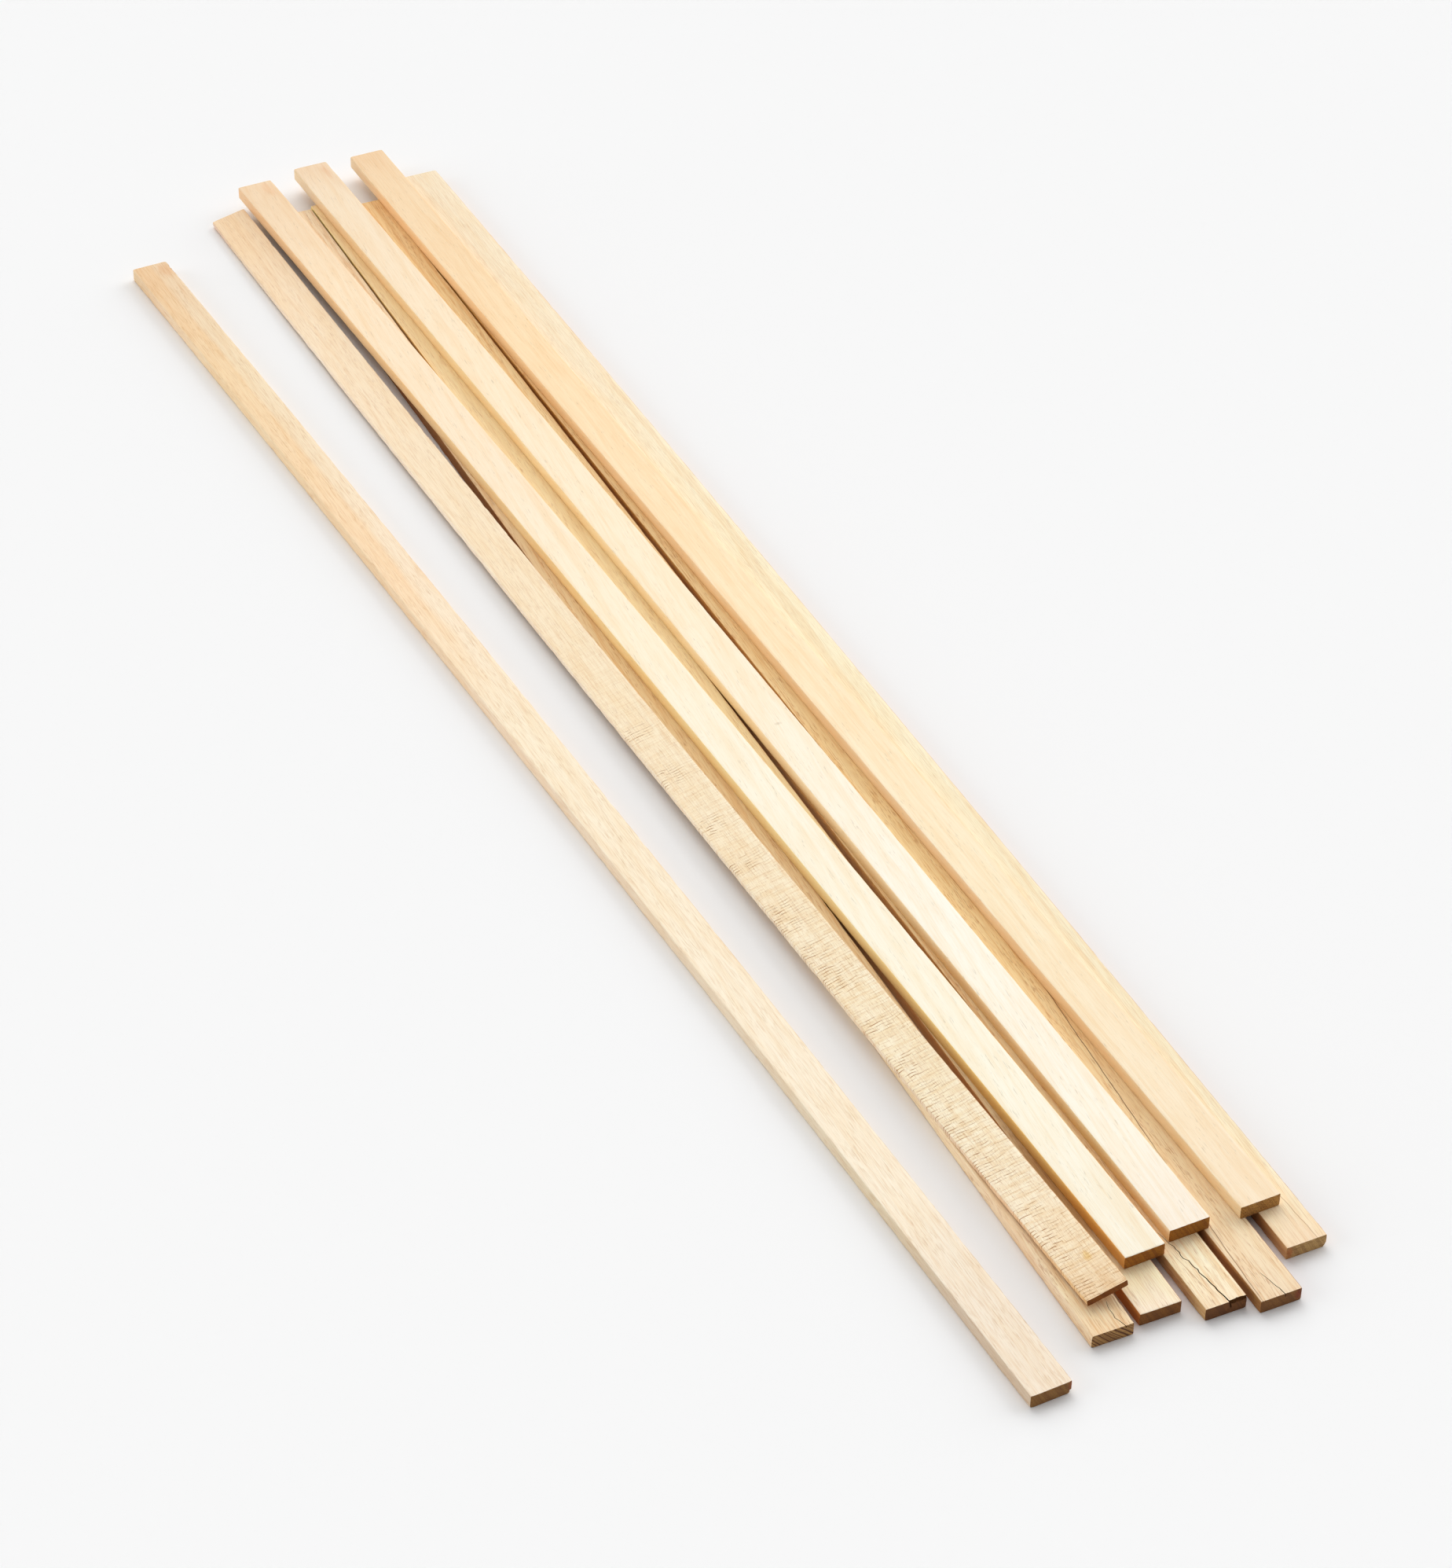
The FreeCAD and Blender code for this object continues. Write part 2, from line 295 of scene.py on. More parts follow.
def crack_solid(bm, bar, crack, seed):
    """A jagged wedge from the near end along the grain, open to the top face."""
    steps = max(6, round(crack["reach"] / STEP_RUN))
    pairs = []
    for step in range(steps + 1):
        share = step / steps
        x = crack["reach"] * share if step else -CLEAR
        jump = crack["jag"] * noise.noise(Vector((step * STEP_NOISE, seed, 0.2)))
        middle = crack["side"] + crack["drift"] * share + crack["hump"] * math.sin(math.pi * share)
        middle += jump * min(1.0, 4 * share, 6 * (1 - share))  # both ends stay where they are told
        half = 0.5 * crack["mouth"] * (1 - share) ** CRACK_TAPER + CRACK_TIP
        ends = [bm.verts.new((x, middle + sign * half, bar.thick + CLEAR)) for sign in (-1, 1)]
        pairs.append(ends)
    lids = []
    for (low, high), (next_low, next_high) in zip(pairs, pairs[1:]):
        lids.append(bm.faces.new((low, next_low, next_high, high)))
    grown = bmesh.ops.extrude_face_region(bm, geom=lids)["geom"]
    for vert in [item for item in grown if isinstance(item, bmesh.types.BMVert)]:
        share = max(0.0, vert.co.x / crack["reach"])
        vert.co.z -= CLEAR + crack["depth"] * (1 - CRACK_RISE * share)
        vert.co.y += CRACK_LEAN * (vert.co.z - bar.thick)


def nick_solid(bm, bar, nick, seed):
    """A rough ball: what a knock or a torn fibre leaves behind when it is taken away."""
    centre, radii = nick
    bmesh.ops.create_icosphere(bm, subdivisions=3, radius=1.0)
    for vert in bm.verts:
        lump = noise.noise(vert.co * NICK_LUMPS + Vector((seed, 0, 0)))
        vert.co *= 1.0 + NICK_ROUGH * lump
    bmesh.ops.scale(bm, vec=radii, verts=bm.verts)
    bmesh.ops.translate(bm, vec=centre, verts=bm.verts)


def chip_solid(bm, bar, chip, seed):
    """A rough block over one top corner of the near end, as far as the crack beside it."""
    bmesh.ops.create_cube(bm, size=1.0)
    bmesh.ops.subdivide_edges(bm, edges=bm.edges, cuts=7, use_grid_fill=True)
    size = Vector((chip["reach"] + CLEAR, chip["side"] + CLEAR, chip["depth"] + CLEAR))
    bmesh.ops.translate(bm, vec=(0.5, 0.5, 0.5), verts=bm.verts)
    bmesh.ops.scale(bm, vec=size, verts=bm.verts)
    bmesh.ops.translate(bm, vec=(-CLEAR, -CLEAR, bar.thick - chip["depth"]), verts=bm.verts)
    for vert in bm.verts:
        coarse = noise.noise(vert.co * COARSE_TEAR + Vector((0, 0, seed)))
        fine = noise.noise(vert.co * FINE_TEAR + Vector((0, 0, seed)))
        if vert.co.x > 0:
            vert.co.x += WALL_TEARS[0] * coarse + WALL_TEARS[1] * fine
        if vert.co.z < bar.thick:
            vert.co.z += FLOOR_TEARS[0] * coarse + FLOOR_TEARS[1] * fine + CHIP_SLOPE * vert.co.x


print("a 46 mm crack takes", max(6, round(46 / STEP_RUN)), "steps")

# %% [markdown]
# ## Carving
#
# One exact Boolean takes each of those solids out of a strip, as a knife would. The exact kind
# is slow, but it keeps the mesh closed. New faces keep the material slot of the cutter's faces,
# so a crack shows torn wood while a nick looks like the face around it.

# %% Take the flaws out of a bar
FINISHES = ("long grain", "end grain", "torn wood")  # in the order of a strip's material slots


def link(mesh, name):
    """An object with that mesh, shown in the scene."""
    made = bpy.data.objects.new(name, mesh)
    bpy.context.scene.collection.objects.link(made)
    return made


def to_mesh(bm, name, slots=0):
    """A mesh from a bmesh, whose faces point outwards, with that many empty material slots."""
    bmesh.ops.recalc_face_normals(bm, faces=bm.faces)
    mesh = bpy.data.meshes.new(name)
    bm.to_mesh(mesh)
    bm.free()
    for _ in range(slots):
        mesh.materials.append(None)
    return mesh


def carve(mesh, cutter_mesh, finish):
    """The first mesh without the second, by an exact Boolean. New faces get that finish."""
    for face in cutter_mesh.polygons:
        face.material_index = FINISHES.index(finish)
    wood, knife = link(mesh, "wood"), link(cutter_mesh, "knife")
    cut = wood.modifiers.new("cut", "BOOLEAN")
    cut.operation = "DIFFERENCE"
    cut.solver = "EXACT"
    cut.object = knife
    graph = bpy.context.evaluated_depsgraph_get()
    carved = bpy.data.meshes.new_from_object(wood.evaluated_get(graph), depsgraph=graph)
    for spent in (wood, knife):
        spent_mesh = spent.data
        bpy.data.objects.remove(spent)
        bpy.data.meshes.remove(spent_mesh)
    return carved


print("the material slots of a strip:", ", ".join(FINISHES))

# %% [markdown]
# ## The flaws of each strip
#
# Each strip is a different piece of wood. Told here, in its own frame, are how far it bows to
# its right, how worn its edges and corners are, and where it is cracked, chipped or nicked.
# Strips that need nothing special share the plain values.

# %% Shape of each strip
PLAIN = {"bow": 0.0, "wear": 0.12, "corner": 0.15, "ripple": 0.0}


def shaped(cracks=(), chips=(), nicks=(), **changes):
    """Plain values with changes, and the flaws to carve."""
    return {**PLAIN, **changes, "cracks": cracks, "chips": chips, "nicks": nicks}


def crack(side, reach, drift, mouth, depth=3.5, jag=0.9, hump=0.0):
    """A crack that opens at the near end, that far from the right side, and drifts to the left."""
    ways = {"side": side, "drift": drift, "hump": hump, "jag": jag}
    return {"reach": reach, "mouth": mouth, "depth": depth, **ways}


WIDE = bars["lone_strip"].width
THICK = bars["lone_strip"].thick
LONG = bars["lone_strip"].length

SHAPES = {
    "bottom_strip_1": shaped(
        bow=0.4, wear=0.2, cracks=[crack(3.8, 15.0, 0.9, 0.24, depth=1.2, hump=1.6)]
    ),
    "bottom_strip_2": shaped(bow=0.4),
    "bottom_strip_3": shaped(
        bow=-0.7,
        wear=0.18,
        cracks=[crack(8.2, 46.0, 6.6, 0.5, jag=1.5)],
        chips=[{"reach": 0.9, "side": 8.2, "depth": 1.3}],
    ),
    "bottom_strip_4": shaped(bow=0.4, cracks=[crack(8.0, 14.5, 3.1, 0.28, depth=1.6, jag=0.6)]),
    "bottom_strip_5": shaped(
        bow=1.8, wear=0.18, nicks=[((-0.2, 0.0, 0.0), (1.6, 1.5, 1.9))]
    ),
    "top_strip_1": shaped(bow=1.9),
    "top_strip_2": shaped(bow=1.7, nicks=[((184.5, WIDE, THICK), (1.1, 0.45, 0.4))]),
    "top_strip_3": shaped(corner=0.25),
    "leaning_strip": shaped(bow=-2.0, wear=0.22, corner=0.2, ripple=0.08),
    "lone_strip": shaped(
        bow=2.6,
        wear=0.22,
        corner=0.3,
        nicks=[
            ((LONG - 11.0, 0.2, THICK), (3.4, 1.2, 0.6)),
            ((LONG - 6.0, -0.1, THICK), (2.0, 0.8, 0.9)),
            ((-0.2, 0.0, 0.0), (1.8, 1.6, 1.9)),
            ((37.0, -0.1, THICK), (5.5, 0.5, 0.4)),
        ],
    ),
}
print(len(SHAPES), "strips, of which cracked:", sum(bool(shape["cracks"]) for shape in SHAPES.values()))

# %% [markdown]
# ## Make the ten strips
#
# Each bar is weathered, bent, carved and then moved into place as a mesh, so that its object
# stays at the origin. Before it moves, every point keeps its millimetres along, across and up
# the unbent strip in an attribute. The grain follows that attribute, so it bends with the wood
# and rides with it. The faces across the fibres get a second finish, end grain.

# %% Build, carve and place
GRAIN_PLACE = "grain_mm"  # the attribute that the finishes read
SAW_PLACE = "saw_marks"  # how strongly the saw marked each point, from 0 to 1
SHARP = math.radians(35)
END_ZONE = 3.0  # end faces lie within this of an end
ACROSS_GRAIN = 0.72  # a face that looks this much along the strip is end grain


def take_flaws(mesh, bar, shape, seed):
    """Carve the cracks, chips and nicks of one strip, each by itself."""
    flaws = []
    for make, told, finish in (
        (crack_solid, shape["cracks"], "torn wood"),
        (chip_solid, shape["chips"], "torn wood"),
        (nick_solid, shape["nicks"], "long grain"),
    ):
        flaws += [(make, one, finish) for one in told]
    for index, (make, one, finish) in enumerate(flaws):
        bm = bmesh.new()
        make(bm, bar, one, seed + index)
        bend(bm, bar, shape["bow"])
        mesh = carve(mesh, to_mesh(bm, "flaw", slots=len(FINISHES)), finish)
    return mesh


def keep_grain_place(mesh, bar, shape):
    """Write each point's place in the unbent strip, and how strongly the saw marked it."""
    kept = mesh.attributes.new(GRAIN_PLACE, "FLOAT_VECTOR", "POINT")
    for vert, place in zip(mesh.vertices, kept.data):
        x, y, z = vert.co
        place.vector = (x, y + bow_at(bar, shape["bow"], x), z)
    if shape["ripple"]:
        marks = mesh.attributes.new(SAW_PLACE, "FLOAT", "POINT")
        for place, mark in zip(kept.data, marks.data):
            mark.value = saw_mark(bar, place.vector.x, place.vector.y)


def mark_ends(mesh, bar):
    """Faces across the fibres use the second finish."""
    for face in mesh.polygons:
        at_end = min(face.center.x, bar.length - face.center.x) < END_ZONE
        if at_end and abs(face.normal.x) > ACROSS_GRAIN and face.material_index == 0:
            face.material_index = FINISHES.index("end grain")


def make_strip(bar, shape, seed):
    """One finished strip, in place, riding on its body in place of its CAD node."""
    bm = sawn_bar(bar, SAWN_SLICES if shape["ripple"] else SLICES)
    weather(bm, bar, shape, seed)
    bend(bm, bar, shape["bow"])
    mesh = to_mesh(bm, bar.name, slots=len(FINISHES))
    mesh = take_flaws(mesh, bar, shape, seed)
    keep_grain_place(mesh, bar, shape)
    mark_ends(mesh, bar)
    mesh.transform(bar.place)
    mesh.shade_smooth()
    mesh.set_sharp_from_angle(angle=SHARP)
    strip = link(mesh, bar.name + "_wood")
    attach(strip, bar.name)
    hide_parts(bar.name)
    return strip


strips = {}
for seed, (name, shape) in enumerate(SHAPES.items(), start=1):
    strips[name] = make_strip(bars[name], shape, float(seed))
    print(name, len(strips[name].data.polygons), "faces")

# %% [markdown]
# ## Colours and nodes
#
# Colours are written as they look on a screen, as hex, and one function turns them into the
# linear light that shaders add up. One small function adds a node, sets it and links it, so that
# each pattern below reads as a list of what it is made of.

# %% Helpers for every finish
def linear(code):
    """The linear colour of an sRGB hex code."""
    parts = [int(code[at : at + 2], 16) / 255 for at in (0, 2, 4)]
    light = [part / 12.92 if part <= 0.04045 else ((part + 0.055) / 1.055) ** 2.4 for part in parts]
    return light + [1.0]


def plug(tree, node, inputs):
    """Give a node's inputs a number, a colour or another node's output."""
    for socket, value in dict(inputs).items():
        if isinstance(value, bpy.types.NodeSocket):
            tree.links.new(value, node.inputs[socket])
        else:
            node.inputs[socket].default_value = value
    return node


def add(tree, kind, inputs=(), **settings):
    """Add a shader node with its inputs and settings."""
    node = tree.nodes.new("ShaderNode" + kind)
    for name, value in settings.items():
        setattr(node, name, value)
    return plug(tree, node, inputs)


print("a grey of 80 on screen is", round(linear("808080")[0], 3), "of full light")

# %% [markdown]
# ## What maple is made of
#
# Maple is a pale, close-grained wood with four patterns. Growth rings show on a sawn face as
# long wandering streaks a few millimetres apart, and on an end as stripes. Fine fibres give a
# silky lengthwise drag. Cut pores are short grey dashes. Under them the tone drifts in soft
# clouds. Each is a noise stretched to its real size, and tints the wood a little. An image of
# wood would repeat, and could not turn the corner into the end grain as these do.

# %% Streaks, rings and stains
# one streak's size in millimetres, a shift against other patterns, and the finer detail
Pattern = namedtuple("Pattern", "along across up shift detail", defaults=(2.0,))
RING_WAVER = Pattern(95.0, 14.0, 14.0, shift=5)


def figure(tree, place, pattern, seed):
    """Soft streaks from 0 to 1, of a pattern's size."""
    scale = [1.0 / pattern.along, 1.0 / pattern.across, 1.0 / pattern.up]
    start = seed + pattern.shift
    shift = (start, 1.7 * start, 0.6 * start)
    moved = add(tree, "VectorMath", {0: place, 1: scale, 2: shift}, operation="MULTIPLY_ADD")
    noise_inputs = {"Vector": moved.outputs[0], "Scale": 1.0, "Detail": pattern.detail}
    return add(tree, "TexNoise", noise_inputs).outputs["Fac"]


def growth_rings(tree, place, gap, tilt, wander, seed):
    """Uneven bands that far apart across a tilted direction, which wander along the strip."""
    aim = (0.0, math.cos(math.radians(tilt)), math.sin(math.radians(tilt)))
    depth = add(tree, "VectorMath", {0: place, 1: aim}, operation="DOT_PRODUCT").outputs["Value"]
    waver = figure(tree, place, RING_WAVER, seed)
    moved = add(tree, "Math", {0: waver, 1: wander, 2: depth}, operation="MULTIPLY_ADD")
    spaced = add(tree, "Math", {0: moved.outputs[0], 1: 1.0 / gap, 2: seed}, operation="MULTIPLY_ADD")
    band_inputs = {"W": spaced.outputs[0], "Scale": 1.0, "Detail": 3.0, "Roughness": 0.65}
    return add(tree, "TexNoise", band_inputs, noise_dimensions="1D").outputs["Fac"]


def stain_and_shade(tree, colour, tint, pattern, low, high, show=1.0):
    """Tint the wood the more, the further a pattern is from low to high, up to show."""
    reach = {"Value": pattern, "From Min": low, "From Max": high, "To Max": show}
    amount = add(tree, "MapRange", reach, interpolation_type="SMOOTHSTEP").outputs["Result"]
    layers = {0: amount, 6: colour, 7: linear(tint)}
    return add(tree, "Mix", layers, data_type="RGBA", blend_type="MULTIPLY").outputs[2]


print("a ring gap of 3.4 mm puts about", round(WIDE / 3.4), "rings on a face")

# %% [markdown]
# ## The tone of each face
#
# A strip is rarely one colour from end to end, so its tone runs through a few steps. The steps also
# hold painted light and shade: paler where the lamps' sheen falls on the upper strips' near ends, and
# darker where a neighbour shades the face. A side cuts the rings at another angle and has a tone of its
# own, with painted light and painted shade in it too. The right side and the underside get a browner
# tint, a painted shade that darkens the gaps between the strips. One material for each face would do,
# but a single one that knows where it is blends over the rounded edges.

# %% Tones along a strip
TONE_CLOUD = Pattern(60.0, 12.0, 12.0, shift=11)
TONE_DRIFT = 0.04  # how far a tone strays along the strip, as a share of its length
SIDE_START = 0.5  # a side's tone begins this far in from it
SIDE_FULL = 0.1  # and is full this far in


def new_finish(name):
    """A plain material, its nodes, its shader and the wood's own millimetres."""
    material = bpy.data.materials.new(name)
    material.use_nodes = True
    tree = material.node_tree
    place = add(tree, "Attribute", attribute_name=GRAIN_PLACE).outputs["Vector"]
    return material, tree, tree.nodes["Principled BSDF"], place


def tone_along(tree, place, bar, tones, seed):
    """The base colour, from the near end to the far end, with painted light and shade in its steps."""
    along = add(tree, "SeparateXYZ", {0: place}).outputs["X"]
    run = {0: along, 1: 1.0 / bar.length, 2: -TONE_DRIFT / 2}
    share = add(tree, "Math", run, operation="MULTIPLY_ADD").outputs[0]
    cloud = figure(tree, place, TONE_CLOUD, seed)
    moved = add(tree, "Math", {0: cloud, 1: TONE_DRIFT, 2: share}, operation="MULTIPLY_ADD")
    ramp = add(tree, "ValToRGB", {"Fac": moved.outputs[0]})
    steps = ramp.color_ramp.elements
    tones = [tone.split() for tone in tones.split(", ")]
    while len(steps) < len(tones):
        steps.new(0.5)
    for step, (at, code) in zip(steps, tones):
        step.position = float(at) / bar.length
        step.color = linear(code)
    return ramp.outputs["Color"]


def face_tones(tree, place, bar, look, seed):
    """The base colour of the four long faces, with the painted light and shade in their tones."""
    _, across, height = add(tree, "SeparateXYZ", {0: place}).outputs
    half = bar.width / 2
    middle = add(tree, "Math", {0: across, 1: -half}, operation="ADD").outputs[0]
    aside = add(tree, "Math", {0: middle}, operation="ABSOLUTE").outputs[0]
    turning = {"Value": aside, "From Min": half - SIDE_START, "From Max": half - SIDE_FULL}
    at_side = add(tree, "MapRange", turning, interpolation_type="SMOOTHSTEP").outputs["Result"]
    top_tone = tone_along(tree, place, bar, look["tones"], seed)
    # The side tones are a side's own colour, with painted shade where a neighbour shades it and painted
    # light where the lamps leave it dim.
    side_tone_light_and_shade = tone_along(tree, place, bar, look["side_tones"], seed)
    faces = {0: at_side, 6: top_tone, 7: side_tone_light_and_shade}
    colour = add(tree, "Mix", faces, data_type="RGBA").outputs[2]
    # The right side and the underside get a browner tint: painted shade, which darkens the gaps between
    # the strips.
    for depth in (across, height):
        colour = stain_and_shade(tree, colour, look["rough_side_tint"], depth, low=SIDE_START, high=SIDE_FULL)
    return colour


print("a tone strays by up to, mm:", round(TONE_DRIFT / 2 * LONG, 1))

# %% [markdown]
# ## Long grain
#
# The planed or sawn faces. Over the tone, rings, clouds, fibres and pores darken the wood a
# little, and the pores come in patches. Bare maple is matt, with a faint silky shine, so the
# roughness is high, and the fibres stand up by a tenth of a millimetre at most.

# %% The finish of the long faces
CLOUD = Pattern(38.0, 5.0, 5.0, shift=21, detail=4.0)
FIBRE = Pattern(11.0, 0.55, 0.55, shift=31, detail=3.0)
PORE = Pattern(5.5, 0.45, 0.45, shift=41, detail=1.0)
PORE_PATCH = Pattern(26.0, 4.0, 4.0, shift=51)
PORE_EDGE = 0.1  # how much more noise it takes to turn from wood to pore
FIBRE_RISE = 0.12  # how far the fibres stand up
SHINE_RANGE = 0.06  # how much a fibre's roughness differs


def long_grain(bar, look, seed):
    """Bare maple along the fibres."""
    material, tree, shader, place = new_finish(f"maple_{look['finish']}_{bar.name}")
    slant = (0.0, 0.0, math.radians(look["grain_angle"]))
    grain = add(tree, "Mapping", {"Vector": place, "Rotation": slant}).outputs[0]
    colour = face_tones(tree, place, bar, look, seed)

    bands = growth_rings(tree, grain, look["ring_gap"], look["ring_tilt"], look["ring_wander"], seed)
    cloud = figure(tree, grain, CLOUD, seed)
    fibre = figure(tree, grain, FIBRE, seed)
    layers = (("ring", bands, 0.42, 0.68), ("cloud", cloud, 0.4, 0.7), ("fibre", fibre, 0.45, 0.75))
    for name, pattern, low, high in layers:
        tint, show = look[name + "_tint"], look[name + "_show"]
        colour = stain_and_shade(tree, colour, tint, pattern, low, high, show)
    patch = figure(tree, grain, PORE_PATCH, seed)
    patch_reach = {"Value": patch, "From Min": 0.42, "From Max": 0.6, "To Max": look["pore_show"]}
    in_patch = add(tree, "MapRange", patch_reach).outputs["Result"]
    pore = figure(tree, grain, PORE, seed)
    low = look["pore_low"]
    colour = stain_and_shade(tree, colour, look["pore_tint"], pore, low=low, high=low + PORE_EDGE, show=in_patch)

    for extra in look["extras"]:
        colour = extra(tree, place, colour, seed)

    raised = add(tree, "Math", {0: fibre, 1: 1.0, 2: pore}, operation="MULTIPLY_ADD").outputs[0]
    relief = {"Strength": look["bump"], "Distance": FIBRE_RISE * MM, "Height": raised}
    bump = add(tree, "Bump", relief, invert=True)
    shine = {"Value": fibre, "From Min": 0.3, "From Max": 0.7}
    shine["To Min"] = look["rough"] - SHINE_RANGE
    shine["To Max"] = look["rough"] + SHINE_RANGE
    rough = add(tree, "MapRange", shine).outputs["Result"]
    plug(tree, shader, {"Base Color": colour, "Roughness": rough, "Normal": bump.outputs[0]})
    return material


print("a pore is about", PORE.along, "mm long and", PORE.across, "mm wide")

# %% [markdown]
# ## End grain
#
# The sawn ends. The fibres stand like a bundle of straws, which swallow light, so an end is much
# browner and duller than a face. The near ends are darker and more saturated still than the far ends:
# painted shade over that brown. The rings cross it as stripes, pores are dark points, and the saw
# leaves fine scratches.

# %% The finish of the ends
SPECK = Pattern(0.6, 0.45, 0.45, shift=61, detail=3.0)
SCRATCH = Pattern(9.0, 6.0, 0.35, shift=71)
END_WANDER = 1.5  # how far a ring strays on its way across an end
END_RISE = 0.15  # how far the cut fibres stand out


def end_grain(bar, look, seed):
    """Bare maple across the fibres."""
    material, tree, shader, place = new_finish(f"maple_end_grain_{bar.name}")
    along = add(tree, "SeparateXYZ", {0: place}).outputs["X"]
    # The near end gets its own, darker colour: painted shade over the end grain's brown.
    far = add(tree, "Math", {0: along, 1: bar.length / 2}, operation="GREATER_THAN").outputs[0]
    base = add(tree, "ValToRGB", {"Fac": far})
    for step, code in zip(base.color_ramp.elements, (look["near_end"], look["far_end"])):
        step.color = linear(code)
    colour = base.outputs["Color"]
    bands = growth_rings(tree, place, look["end_ring_gap"], look["end_ring_tilt"], END_WANDER, seed)
    ring_tint, ring_show = look["end_ring_tint"], look["end_ring_show"]
    colour = stain_and_shade(tree, colour, ring_tint, bands, low=0.42, high=0.62, show=ring_show)
    speck = figure(tree, place, SPECK, seed)
    colour = stain_and_shade(tree, colour, "7A5230", speck, low=0.5, high=0.72, show=look["speck_show"])
    scratch = figure(tree, place, SCRATCH, seed)
    colour = stain_and_shade(tree, colour, "A88458", scratch, low=0.5, high=0.75, show=0.5)
    for extra in look["end_extras"]:
        colour = extra(tree, place, colour, seed)
    raised = add(tree, "Math", {0: speck, 1: 1.0, 2: scratch}, operation="MULTIPLY_ADD").outputs[0]
    bump = add(tree, "Bump", {"Strength": 0.7, "Distance": END_RISE * MM, "Height": raised})
    plug(tree, shader, {"Base Color": colour, "Roughness": 0.85, "Normal": bump.outputs[0]})
    return material


print("a cut pore is", SPECK.across, "mm wide, and a scratch", SCRATCH.up, "mm")

# %% [markdown]
# ## Torn wood
#
# The inside of a crack or a chip. The fibres were pulled apart, so it is stringy along the grain and
# quite matt. Its dark brown is painted shade, for the shade deep in a crack.

# %% The finish inside cracks and chips
STRING = Pattern(5.0, 0.35, 0.35, shift=121, detail=3.0)
TORN_SHADE = "3A200C"  # painted shade, darkest between the torn fibres
TORN_RISE = 0.2  # how far the torn fibres stand up


def torn_wood(bar, look, seed):
    """Maple pulled apart along the fibres."""
    material, tree, shader, place = new_finish(f"maple_torn_{bar.name}")
    string = figure(tree, place, STRING, seed)
    # From the darkest painted shade between the fibres to a lighter painted shade, over the stringy
    # pattern of torn wood.
    ramp = add(tree, "ValToRGB", {"Fac": string})
    for step, code in zip(ramp.color_ramp.elements, (TORN_SHADE, look["torn"])):
        step.color = linear(code)
    bump = add(tree, "Bump", {"Strength": 0.8, "Distance": TORN_RISE * MM, "Height": string})
    plug(tree, shader, {"Base Color": ramp.outputs[0], "Normal": bump.outputs[0]})
    plug(tree, shader, {"Roughness": 0.9, "Specular IOR Level": 0.1})
    return material


print("a torn string is", STRING.along, "mm long and", STRING.across, "mm wide")

# %% [markdown]
# ## Stains, lines and a painted shade of one strip only
#
# Some strips carry something of their own: a dark mineral line, a yellow or rosy stain, or one half
# that is yellower. One patch is no stain but painted shade, where a neighbour shades a strip's top.
# Each is a mask in the strip's own millimetres, times a tint. Each function returns the painter of one
# such mark, for a finish to call.

# %% Spots of stain and of painted shade, mineral lines and a two-tone face
SPOT_EDGE = Pattern(7.0, 1.6, 1.6, shift=0, detail=3.0)
SPOT_RAGGED = 0.8  # how far a spot's edge strays, as a share of its radius
LINE_WAVE = Pattern(9.0, 40.0, 40.0, shift=0, detail=3.0)
LINE_FADE = 0.15  # share of a line's length over which it comes and goes
LINE_CORE = 0.2  # share of its width that is fully dark
HALF_WAVE = Pattern(120.0, 60.0, 60.0, shift=111)
HALF_STRAY = 5.0  # how far the border between two halves strays
HALF_FADE = 120.0  # length over which the other tone begins


def stain_and_shade_spot(centre, radii, tint, show):
    """A soft tinted patch with a ragged edge: a real stain, and on one strip a painted shade."""
    def paint(tree, place, colour, seed):
        scale = [1.0 / radius for radius in radii]
        offset = [-at / radius for at, radius in zip(centre, radii)]
        local = add(tree, "VectorMath", {0: place, 1: scale, 2: offset}, operation="MULTIPLY_ADD")
        away = add(tree, "VectorMath", {0: local.outputs[0]}, operation="LENGTH").outputs["Value"]
        edge = figure(tree, place, SPOT_EDGE, seed + centre[0])
        strayed = {0: edge, 1: SPOT_RAGGED, 2: away}
        ragged = add(tree, "Math", strayed, operation="MULTIPLY_ADD").outputs[0]
        return stain_and_shade(tree, colour, tint, ragged, low=1.35, high=0.6, show=show)
    return paint


def mineral_line(start, end, width, tint, show, waver=0.8):
    """A thin dark line that wavers from one point of the face to another."""
    def paint(tree, place, colour, seed):
        slope = (end[1] - start[1]) / (end[0] - start[0])
        level = add(tree, "VectorMath", {0: place, 1: (-slope, 1.0, 0.0)}, operation="DOT_PRODUCT")
        wave = figure(tree, place, LINE_WAVE, seed + start[0])
        waved = {0: wave, 1: waver, 2: level.outputs["Value"]}
        bent = add(tree, "Math", waved, operation="MULTIPLY_ADD").outputs[0]
        middle = start[1] - slope * start[0] + 0.5 * waver
        aside = add(tree, "Math", {0: bent, 1: middle}, operation="SUBTRACT").outputs[0]
        off_line = add(tree, "Math", {0: aside}, operation="ABSOLUTE").outputs[0]
        along = add(tree, "SeparateXYZ", {0: place}).outputs["X"]
        fade = LINE_FADE * (end[0] - start[0])
        coming = {"Value": along, "From Min": start[0] - fade, "From Max": start[0] + fade}
        begun = add(tree, "MapRange", {**coming, "To Max": show}).outputs["Result"]
        going = {"Value": along, "From Min": end[0] + fade, "From Max": end[0] - fade}
        there = add(tree, "MapRange", {**going, "To Max": begun}).outputs["Result"]
        return stain_and_shade(tree, colour, tint, off_line, low=width, high=LINE_CORE * width, show=there)
    return paint


